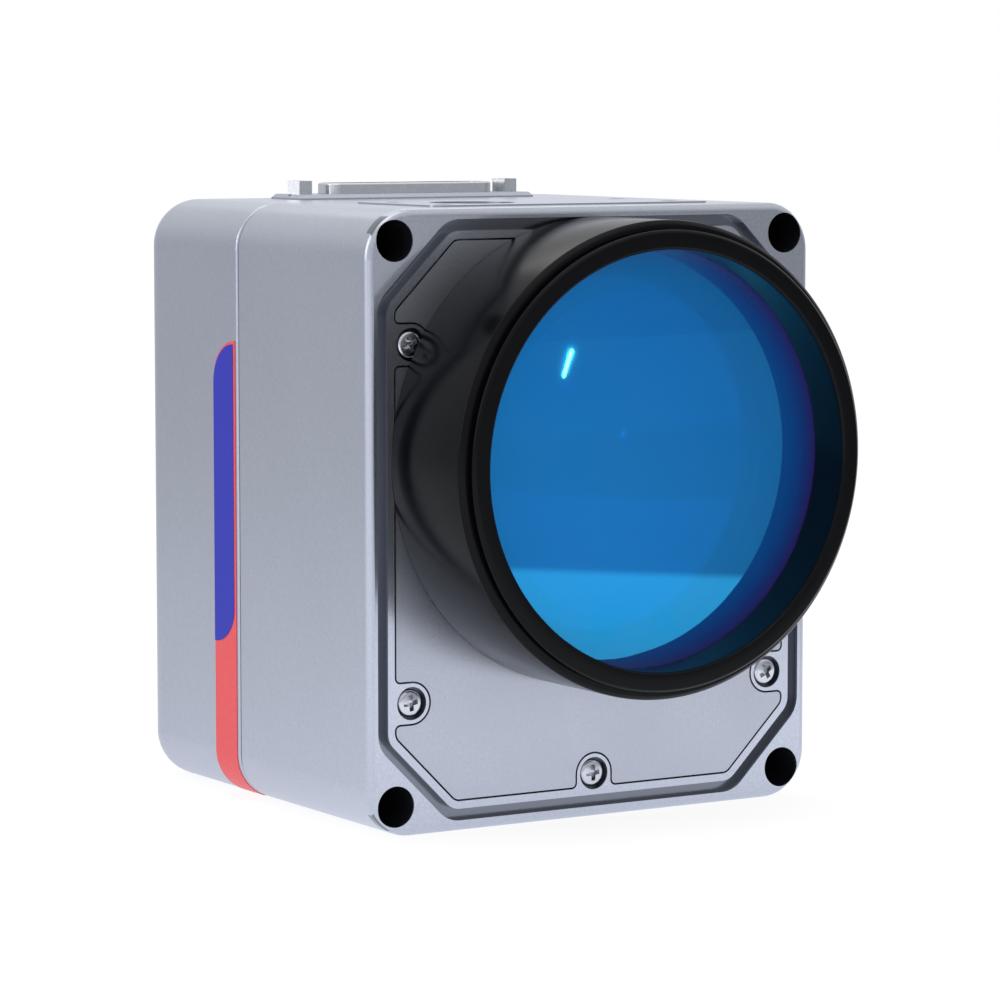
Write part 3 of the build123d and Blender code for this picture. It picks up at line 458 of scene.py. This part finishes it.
def rounded(profile, size, steps=3):
    """The closed profile with each corner cut by a small round."""
    result = []
    count = len(profile)
    for i, corner in enumerate(profile):
        here = Vector(corner)
        before = Vector(profile[i - 1]) - here
        after = Vector(profile[(i + 1) % count]) - here
        reach = min(size, before.length / 3, after.length / 3)
        start = here + before.normalized() * reach
        end = here + after.normalized() * reach
        for k in range(steps + 1):
            t = k / steps
            point = start * (1 - t) ** 2 + here * 2 * t * (1 - t) + end * t ** 2
            result.append(tuple(point))
    return result


def make_barrel():
    """Barrel, stepped inside for the elements and their spacers."""
    profile = [
        (barrel_radius, plate_face), (barrel_radius, barrel_front + barrel_chamfer),
        (barrel_radius - barrel_chamfer, barrel_front), (groove_radius + close_fit, barrel_front),
        (groove_radius + close_fit, glass_front_rim), (glass_seat_radius, glass_front_rim),
        (glass_seat_radius, spacer_low.y), (mid_bore_radius, spacer_low.y),
        (mid_bore_radius, mid_high.y), (rear_bore_radius, mid_high.y),
        (rear_bore_radius, barrel_high.y), (neck_radius, barrel_high.y), (neck_radius, plate_face),
    ]
    piece = lathe("barrel", rounded(profile, fine_edge), slot_materials["black_anodised"],
                  "head")
    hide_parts("lens_barrel")


def make_front_ring():
    """Front ring, whose skirt reaches into the barrel."""
    profile = [
        (aperture_radius + aperture_chamfer, ring_low.y), (ring_radius - ring_chamfer, ring_low.y),
        (ring_radius, ring_low.y + ring_chamfer), (ring_radius, ring_back),
        (groove_radius, ring_back), (groove_radius, ring_high.y),
        (skirt_radius, ring_high.y), (aperture_radius, ring_back),
        (aperture_radius, ring_low.y + aperture_chamfer),
    ]
    piece = lathe("front_ring", rounded(profile, fine_edge), slot_materials["black_anodised"],
                  "head")
    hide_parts("lens_front_ring")


def make_front_glass():
    """Front element with its true curves, a flat seat at the rim and a plain cylindrical edge."""
    rim = glass_rim_radius
    seat = 36.8 * mm
    bulge = 0.6 * mm
    hollow = 2.0 * mm
    steps = 32
    curve = [seat * (1 - k / steps) for k in range(steps + 1)]
    tiny = 0.01 * mm
    front = [(max(r, tiny), glass_front_rim - bulge * (1 - (r / seat) ** 2)) for r in curve]
    back = [(max(r, tiny), glass_high.y - hollow * (1 - (r / seat) ** 2)) for r in reversed(curve)]
    profile = [(rim, glass_high.y), (rim, glass_front_rim)] + front + back
    piece = lathe("front_glass", profile, slot_materials["coated_glass"], "head")
    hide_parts("lens_front_glass")


make_barrel()
make_front_ring()
make_front_glass()

# ------------------------------------------------------------------ plate screws with cross recesses
screw_head_radius = 2.6 * mm
screw_head_height = 1.9 * mm
screw_shank_radius = 1.5 * mm
screw_shank_length = 7.0 * mm
recess_reach = 1.65 * mm
recess_width = 0.95 * mm
recess_depth = 1.2 * mm
recess_taper = 0.6
crown_share = 0.97
crown_rim_share = 0.93
wall_slope = 0.75
seat_margin = 0.1 * mm


def evaluated_boolean(base, cutter):
    """Mesh of base less cutter; both helper objects are removed."""
    modifier = base.modifiers.new("cut", "BOOLEAN")
    modifier.object = cutter
    modifier.operation = "DIFFERENCE"
    modifier.solver = "EXACT"
    bpy.context.view_layer.update()
    depsgraph = bpy.context.evaluated_depsgraph_get()
    mesh = bpy.data.meshes.new_from_object(base.evaluated_get(depsgraph))
    for helper in (base, cutter):
        bpy.data.objects.remove(helper)
    return mesh


def helper_object(name, builder):
    """Short-lived object for the boolean cut."""
    bmesh.ops.recalc_face_normals(builder, faces=builder.faces)
    mesh = bpy.data.meshes.new(name)
    builder.to_mesh(mesh)
    builder.free()
    obj = bpy.data.objects.new(name, mesh)
    bpy.context.scene.collection.objects.link(obj)
    return obj


def revolved(profile, segments=48):
    """Closed solid turned about Z from (radius, z) points that start and end on the axis."""
    builder = bmesh.new()
    bottom = builder.verts.new((0, 0, profile[0][1]))
    top = builder.verts.new((0, 0, profile[-1][1]))
    rings = []
    for i in range(segments):
        a = 2 * math.pi * i / segments
        rings.append([builder.verts.new((r * math.cos(a), r * math.sin(a), z))
                      for r, z in profile[1:-1]])
    for i, ring in enumerate(rings):
        following = rings[(i + 1) % segments]
        builder.faces.new((bottom, following[0], ring[0]))
        builder.faces.new((top, ring[-1], following[-1]))
        for k in range(len(ring) - 1):
            builder.faces.new((ring[k], following[k], following[k + 1], ring[k + 1]))
    return builder


def cross_prism(reach, width, depth, taper, top):
    """Tapered cross, from above the top down to the depth."""
    builder = bmesh.new()
    outline = []
    for quarter in range(4):
        a = quarter * math.pi / 2
        for x, y in ((reach, -width / 2), (reach, width / 2), (width / 2, width / 2)):
            outline.append((x * math.cos(a) - y * math.sin(a), x * math.sin(a) + y * math.cos(a)))
    lift = depth * 0.2
    upper = [builder.verts.new((x, y, top + lift)) for x, y in outline]
    lower = [builder.verts.new((x * taper, y * taper, top - depth)) for x, y in outline]
    builder.faces.new(upper)
    builder.faces.new(reversed(lower))
    for k in range(len(upper)):
        m = (k + 1) % len(upper)
        builder.faces.new((upper[k], lower[k], lower[m], upper[m]))
    return builder


def pan_head_mesh():
    """Pan-head screw along Z with its seat at zero and its shank below."""
    crown = []
    steps = 8
    edge = screw_head_height * 0.42
    for k in range(steps + 1):
        a = math.pi / 2 * k / steps
        crown.append((screw_head_radius - edge * (1 - math.cos(a)),
                      screw_head_height * 0.9 - edge + edge * math.sin(a)))
    profile = [
        (0, -screw_shank_length), (screw_shank_radius * 0.8, -screw_shank_length),
        (screw_shank_radius, -screw_shank_length * 0.95), (screw_shank_radius, 0),
        (screw_head_radius * 0.97, 0), (screw_head_radius, screw_head_height * 0.08),
    ] + crown + [(screw_head_radius * 0.3, screw_head_height), (0, screw_head_height)]
    base = helper_object("head_blank", revolved(profile))
    cutter = helper_object("cross", cross_prism(recess_reach, recess_width, recess_depth, recess_taper,
                                                screw_head_height))
    return evaluated_boolean(base, cutter)


def recess_shade_face(face, places, seat_y):
    """True for the walls and floor of a cross recess, which get the black steel as painted shade."""
    middle = face.calc_center_median()
    near = min(math.hypot(middle.x - x, middle.z - z) for x, z, _ in places)
    in_head = seat_y - screw_head_height * crown_share < middle.y < seat_y - seat_margin
    below_rim = middle.y > seat_y - screw_head_height * crown_rim_share
    steep = abs(face.normal.y) < wall_slope
    return in_head and near < recess_reach and (steep or below_rim)


def make_plate_screws():
    """Five screws where the solids have them; each cross is turned its own way."""
    seat_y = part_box("plate_screws")[0].y + screw_head_height
    middle = case_height / 2
    side_x = 39.4 * mm
    side_z = 32.6 * mm
    bottom_z = 48.8 * mm
    places = ((-side_x, middle + side_z, 24), (side_x, middle + side_z, 50),
              (-side_x, middle - side_z, 8), (side_x, middle - side_z, 33),
              (0, middle - bottom_z, 5))
    template = pan_head_mesh()
    builder = bmesh.new()
    for x, z, turn in places:
        start = len(builder.verts)
        builder.from_mesh(template)
        builder.verts.ensure_lookup_table()
        a = math.radians(turn)
        for vertex in builder.verts[start:]:
            u = vertex.co.x * math.cos(a) - vertex.co.y * math.sin(a)
            w = vertex.co.x * math.sin(a) + vertex.co.y * math.cos(a)
            vertex.co = Vector((x + u, seat_y - vertex.co.z, z + w))
    bmesh.ops.recalc_face_normals(builder, faces=builder.faces)
    # painted shade: the recess walls and floor take the black steel instead of the zinc
    for face in builder.faces:
        face.material_index = int(recess_shade_face(face, places, seat_y))
    piece = new_piece("plate_screw_set", builder, slot_materials["zinc_steel"], "head")
    piece.data.materials.append(slot_materials["black_steel"])
    smooth(piece, 30)
    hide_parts("plate_screws")


make_plate_screws()

# ------------------------------------------------------------------ camera at the photo's angle
focal_length = 147.05
sensor_width = 36.0
camera_yaw = 31.667
camera_pitch = 5.644
camera_place = Vector((-411.06, -677.95, 134.05)) * mm

camera_data = bpy.data.cameras.new("camera")
camera_data.lens = focal_length
camera_data.sensor_width = sensor_width
camera_data.clip_start = 0.01
camera_data.clip_end = 20
camera = bpy.data.objects.new("camera", camera_data)
camera.location = camera_place
camera.rotation_euler = (math.radians(90 - camera_pitch), 0, math.radians(-camera_yaw))
bpy.context.scene.collection.objects.link(camera)
bpy.context.scene.camera = camera

# ------------------------------------------------------------------ floor, surroundings and lamps
scene = bpy.context.scene
scene.view_settings.view_transform = "Standard"


cool = (0.95, 0.98, 1.06)
sheet_edge = 0.358
sheet_softness = 0.008
sheet_turn = math.radians(44)
sheet_levels = ((0.33, 1.15), (0.45, 1.0), (0.55, 0.66), (0.95, 0.25))
# round the object from the back, by the left, the front and the right
room_levels = ((0.0, 0.62), (0.089, 0.5), (0.25, 0.62), (0.4, 0.7), (0.5, 0.6), (0.575, 0.46),
               (0.605, 0.27), (0.7, 0.35), (0.85, 0.82), (0.911, 0.88), (1.0, 0.62))
overhead_level = 0.85
room_fill = 0.75
floor_half_size = 3.0
floor_gap = 0.1 * mm
floor_share = 0.7
floor_camera = 0.87
floor_albedo = 0.2


def room_horizon(tree, axes):
    """Brightness of the room at eye level, by the direction round the object."""
    turn = math_node(tree, "ARCTAN2", axes["X"], math_node(tree, "MULTIPLY", axes["Y"], -1.0))
    around = math_node(tree, "MULTIPLY_ADD", turn, 0.5 / math.pi, 0.5)
    return grey_ramp(tree, around, *room_levels, tint=cool)


def floor_material():
    """White floor: it glows to every ray but a glossy one, and its own colour takes the shadow.

    Seen in gloss it is the lit sheet that ends in front of the object, and the room beyond it.
    """
    s = Shader("floor", (floor_albedo,) * 3, 0.0, 0.9, Specular_IOR_Level=0.0)
    s.into("Base Color", s.ramp(s.noise(8, 2), (0.3, (floor_albedo * 0.98,) * 3),
                                (0.7, (floor_albedo * 1.02,) * 3)))
    axes = split_vector(s.tree, s.coordinates.outputs["Object"])
    depth = s.math("MULTIPLY_ADD", axes["Y"], 0.5, 0.5)
    sheet = grey_ramp(s.tree, depth, *sheet_levels, tint=cool)
    forward = s.math("MULTIPLY", axes["Y"], -math.cos(sheet_turn))
    reach = s.math("MULTIPLY_ADD", axes["X"], math.sin(sheet_turn), forward)
    on_sheet = grey_ramp(s.tree, reach, (sheet_edge - sheet_softness, 1.0),
                         (sheet_edge + sheet_softness, 0.0))
    room = choose(s.tree, floor_share, 0.0, room_horizon(s.tree, axes))
    gloss = choose(s.tree, on_sheet, room, vector_node(s.tree, "MAXIMUM", sheet, room))
    path = s.tree.nodes.new("ShaderNodeLightPath")
    s.into("Emission Color", choose(s.tree, path.outputs["Is Glossy Ray"], floor_camera, gloss))
    s.set("Emission Strength", 1.0)
    return s.material


def make_floor():
    """Square floor just under the object."""
    builder = bmesh.new()
    bmesh.ops.create_grid(builder, x_segments=4, y_segments=4, size=floor_half_size)
    mesh = bpy.data.meshes.new("floor")
    builder.to_mesh(mesh)
    builder.free()
    floor = bpy.data.objects.new("floor", mesh)
    floor.location = (0, 0, cad_low.z - floor_gap)
    bpy.context.scene.collection.objects.link(floor)
    dress(floor, floor_material())


make_floor()


def make_world():
    """White room: white to the camera and through glass, one grey to matt surfaces.

    Seen in gloss it is softly shaded round the object.
    """
    world = bpy.data.worlds.new("studio")
    world.use_nodes = True
    scene.world = world
    tree = world.node_tree
    place = tree.nodes.new("ShaderNodeTexCoord")
    axes = split_vector(tree, place.outputs["Generated"])
    overhead = grey_ramp(tree, axes["Z"], (0.05, 0.0), (0.6, 1.0))
    gloss = choose(tree, overhead, room_horizon(tree, axes), overhead_level)
    path = tree.nodes.new("ShaderNodeLightPath")
    seen = choose(tree, path.outputs["Is Glossy Ray"], room_fill, gloss)
    behind = math_node(tree, "MAXIMUM", path.outputs["Is Camera Ray"],
                       path.outputs["Is Transmission Ray"])
    background = tree.nodes["Background"]
    tree.links.new(choose(tree, behind, seen, 1.0), background.inputs["Color"])


make_world()


def area_lamp(name, place, target, size, power):
    """Soft rectangular lamp at a place, aimed at a target."""
    data = bpy.data.lights.new(name, "AREA")
    data.shape = "RECTANGLE"
    data.size, data.size_y = size
    data.energy = power
    lamp = bpy.data.objects.new(name, data)
    lamp.location = place
    direction = Vector(target) - Vector(place)
    lamp.rotation_euler = direction.to_track_quat("-Z", "Y").to_euler()
    bpy.context.scene.collection.objects.link(lamp)
    return lamp


object_centre = (0, 0, case_height / 2)
area_lamp("top_softbox", (-0.1, -0.1, 0.9), object_centre, (0.7, 0.7), 1.2)
area_lamp("left_softbox", (-0.85, 0.1, 0.4), object_centre, (0.5, 0.6), 1.5)
area_lamp("back_softbox", (0.4, 0.85, 0.95), object_centre, (0.8, 0.35), 1.1)
# small strip whose reflection shows as a slanted spark in the glass
strip = area_lamp("strip", (0.499, -0.923, 0.048), (0, front_y, lens_z), (0.002, 0.02), 0.0075)
strip.rotation_euler.rotate_axis("Z", math.radians(-20))
